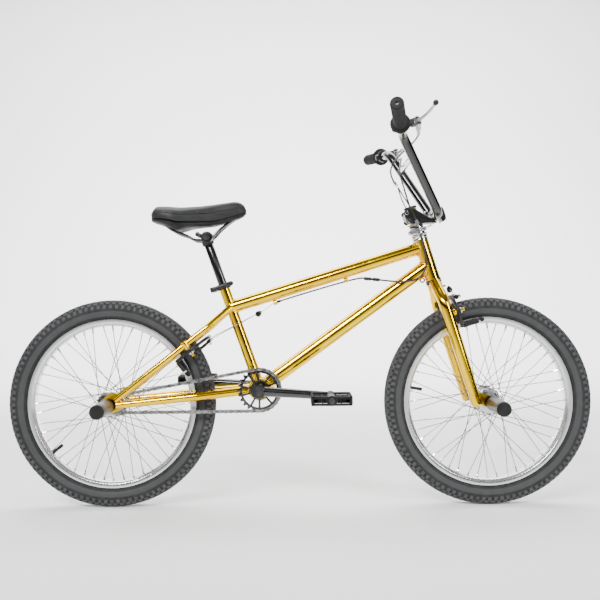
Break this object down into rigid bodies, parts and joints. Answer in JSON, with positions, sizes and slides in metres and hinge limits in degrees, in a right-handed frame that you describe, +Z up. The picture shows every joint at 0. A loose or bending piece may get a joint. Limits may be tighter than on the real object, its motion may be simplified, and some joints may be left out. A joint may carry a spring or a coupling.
{
  "type": "bmx bike",
  "caption": "Freestyle BMX bike with gold-plated frame and fork, cable rotor, crossed-arm rim brakes, axle pegs, knobbly tyres and padded saddle",
  "frame": {"origin": "on the ground, midway between the two axles", "axes": "+X forward, +Y to the rider's left, +Z up"},
  "size_m": [1.43, 0.684, 0.9286],
  "materials": {
    "gold_plate": "bright yellow gold plating",
    "black_alloy": "satin black",
    "bright_chrome": "bright chrome",
    "bright_bar": "satin chrome",
    "bearing_steel": "ground steel",
    "chain_steel": "nickel plated steel",
    "axle_steel": "black oxide steel",
    "peg_alloy": "satin silver",
    "cable_black": "black housing",
    "rotor_alloy": "grey anodised",
    "gloss_black": "gloss black",
    "grip_rubber": "ribbed black rubber",
    "lever_alloy": "silver",
    "tyre_rubber": "black tread rubber",
    "tube_rubber": "butyl rubber",
    "polished_rim": "polished",
    "spoke_steel": "stainless wire",
    "hub_alloy": "polished",
    "pedal_black": "black moulded",
    "base_plastic": "black moulded",
    "saddle_vinyl": "black vinyl",
    "brake_black": "satin black"
  },
  "bodies": {
    "frame": {"head_tube": "gold_plate", "top_tube": "gold_plate", "down_tube": "gold_plate", "seat_tube": "gold_plate", "bottom_bracket_shell": "gold_plate", "chain_stays": "gold_plate", "seat_stays": "gold_plate", "frame_fittings": "gold_plate", "seat_clamp_collar": "black_alloy", "headset_cups": "bright_chrome", "frame_bearings": "bearing_steel", "chain": "chain_steel", "rear_axle": "axle_steel", "rear_pegs": "peg_alloy", "rear_brake_cable": "cable_black"},
    "steering": {"fork": "gold_plate", "front_axle": "axle_steel", "front_pegs": "peg_alloy", "gyro_top_plate": "rotor_alloy", "stem": "black_alloy", "stem_faceplate": "black_alloy", "stem_bolts": "bright_chrome", "handlebar": "gloss_black", "handlebar_crossbar": "bright_bar", "grips": "grip_rubber", "lever_brackets": "black_alloy", "gyro_cable": "cable_black", "front_brake_cable": "cable_black"},
    "front_wheel": {"front_tyre": "tyre_rubber", "front_inner_tube": "tube_rubber", "front_rim": "polished_rim", "front_spokes": "spoke_steel", "front_hub": "hub_alloy"},
    "rear_wheel": {"rear_tyre": "tyre_rubber", "rear_inner_tube": "tube_rubber", "rear_rim": "polished_rim", "rear_spokes": "spoke_steel", "rear_hub": "hub_alloy"},
    "driver": {"rear_cog": "chain_steel"},
    "cranks": {"crank_spindle": "axle_steel", "crank_arms": "gloss_black", "sprocket": "gloss_black", "pedal_axles": "axle_steel"},
    "right_pedal": {"pedal_right": "pedal_black"},
    "left_pedal": {"pedal_left": "pedal_black"},
    "saddle": {"seatpost": "gloss_black", "saddle_rails": "black_alloy", "saddle_base": "base_plastic", "saddle_cover": "saddle_vinyl"},
    "seat_clamp": {"seat_clamp_lever": "black_alloy"},
    "right_lever": {"brake_lever_right": "lever_alloy"},
    "left_lever": {"brake_lever_left": "lever_alloy"},
    "gyro_upper": {"gyro_upper_ring": "rotor_alloy"},
    "gyro_lower": {"gyro_lower_ring": "rotor_alloy"},
    "rear_right_arm": {"rear_brake_arm_right": "brake_black"},
    "rear_left_arm": {"rear_brake_arm_left": "brake_black"},
    "front_right_arm": {"front_brake_arm_right": "brake_black"},
    "front_left_arm": {"front_brake_arm_left": "brake_black"},
    "rear_hanger": {"rear_cable_hanger": "brake_black"},
    "front_hanger": {"front_cable_hanger": "brake_black"}
  },
  "joints": [
    {"name": "steering_turn", "type": "hinge", "parent": "frame", "child": "steering", "pos_m": [0.3166, 0, 0.59656], "axis": [-0.2974, 0, 0.9548], "continuous": true},
    {"name": "front_wheel_spin", "type": "hinge", "parent": "steering", "child": "front_wheel", "pos_m": [0.461, 0, 0.254], "axis": [0, 1, 0], "continuous": true},
    {"name": "rear_wheel_spin", "type": "hinge", "parent": "frame", "child": "rear_wheel", "pos_m": [-0.461, 0, 0.254], "axis": [0, 1, 0], "continuous": true},
    {"name": "crank_spin", "type": "hinge", "parent": "frame", "child": "cranks", "pos_m": [-0.098, 0, 0.288], "axis": [0, 1, 0], "continuous": true},
    {"name": "driver_spin", "type": "hinge", "parent": "frame", "child": "driver", "pos_m": [-0.461, 0, 0.254], "axis": [0, 1, 0], "continuous": true},
    {"name": "right_pedal_spin", "type": "hinge", "parent": "cranks", "child": "right_pedal", "pos_m": [0.07159, 0, 0.27614], "axis": [0, 1, 0], "continuous": true},
    {"name": "left_pedal_spin", "type": "hinge", "parent": "cranks", "child": "left_pedal", "pos_m": [-0.26759, 0, 0.29986], "axis": [0, 1, 0], "continuous": true},
    {"name": "saddle_height", "type": "slide", "parent": "frame", "child": "saddle", "axis": [-0.3322, 0, 0.9432], "range_m": [-0.1, 0.02]},
    {"name": "seat_clamp_open", "type": "hinge", "parent": "frame", "child": "seat_clamp", "pos_m": [-0.21027, -0.024, 0.53154], "axis": [0.3322, 0, -0.9432], "range_deg": [0, 140]},
    {"name": "right_lever_squeeze", "type": "hinge", "parent": "steering", "child": "right_lever", "pos_m": [0.26572, -0.19364, 0.90175], "axis": [0.2572, -0.1496, -0.9547], "range_deg": [0, 20], "stiffness_Nm_per_rad": 0.4, "springref_deg": -2.86},
    {"name": "left_lever_squeeze", "type": "hinge", "parent": "steering", "child": "left_lever", "pos_m": [0.26572, 0.19364, 0.90175], "axis": [-0.2572, -0.1496, 0.9547], "range_deg": [0, 20], "stiffness_Nm_per_rad": 0.4, "springref_deg": -2.86},
    {"name": "gyro_upper_lift", "type": "slide", "parent": "steering", "child": "gyro_upper", "axis": [-0.2974, 0, 0.9548], "range_m": [0, 0.0051]},
    {"name": "gyro_lower_lift", "type": "slide", "parent": "frame", "child": "gyro_lower", "axis": [-0.2974, 0, 0.9548], "range_m": [0, 0.0051]},
    {"name": "rear_hanger_pull", "type": "slide", "parent": "frame", "child": "rear_hanger", "axis": [0.8211, 0, 0.5708], "range_m": [0, 0.0051]},
    {"name": "front_hanger_pull", "type": "slide", "parent": "steering", "child": "front_hanger", "axis": [-0.2974, 0, 0.9548], "range_m": [0, 0.0051]},
    {"name": "rear_right_arm_swing", "type": "hinge", "parent": "frame", "child": "rear_right_arm", "pos_m": [-0.26474, -0.048, 0.3845], "axis": [0.6157, 0, -0.788], "range_deg": [0, 2.5]},
    {"name": "rear_left_arm_swing", "type": "hinge", "parent": "frame", "child": "rear_left_arm", "pos_m": [-0.2592, 0.048, 0.3774], "axis": [-0.6157, 0, 0.788], "range_deg": [0, 2.5]},
    {"name": "front_right_arm_swing", "type": "hinge", "parent": "steering", "child": "front_right_arm", "pos_m": [0.38252, -0.048, 0.47569], "axis": [0.9548, 0, 0.2974], "range_deg": [0, 2.5]},
    {"name": "front_left_arm_swing", "type": "hinge", "parent": "steering", "child": "front_left_arm", "pos_m": [0.39112, 0.048, 0.47837], "axis": [-0.9548, 0, -0.2974], "range_deg": [0, 2.5]}
  ],
  "couplings": [
    {"joint": "driver_spin", "follows": "crank_spin", "ratio": 2.7778},
    {"joint": "gyro_upper_lift", "follows": "right_lever_squeeze", "m_per_rad": 0.01432},
    {"joint": "gyro_lower_lift", "follows": "right_lever_squeeze", "m_per_rad": 0.01432},
    {"joint": "rear_hanger_pull", "follows": "right_lever_squeeze", "m_per_rad": 0.01432},
    {"joint": "front_hanger_pull", "follows": "left_lever_squeeze", "m_per_rad": 0.01432},
    {"joint": "rear_right_arm_swing", "follows": "right_lever_squeeze", "ratio": 0.12},
    {"joint": "rear_left_arm_swing", "follows": "right_lever_squeeze", "ratio": 0.12},
    {"joint": "front_right_arm_swing", "follows": "left_lever_squeeze", "ratio": 0.12},
    {"joint": "front_left_arm_swing", "follows": "left_lever_squeeze", "ratio": 0.12}
  ]
}
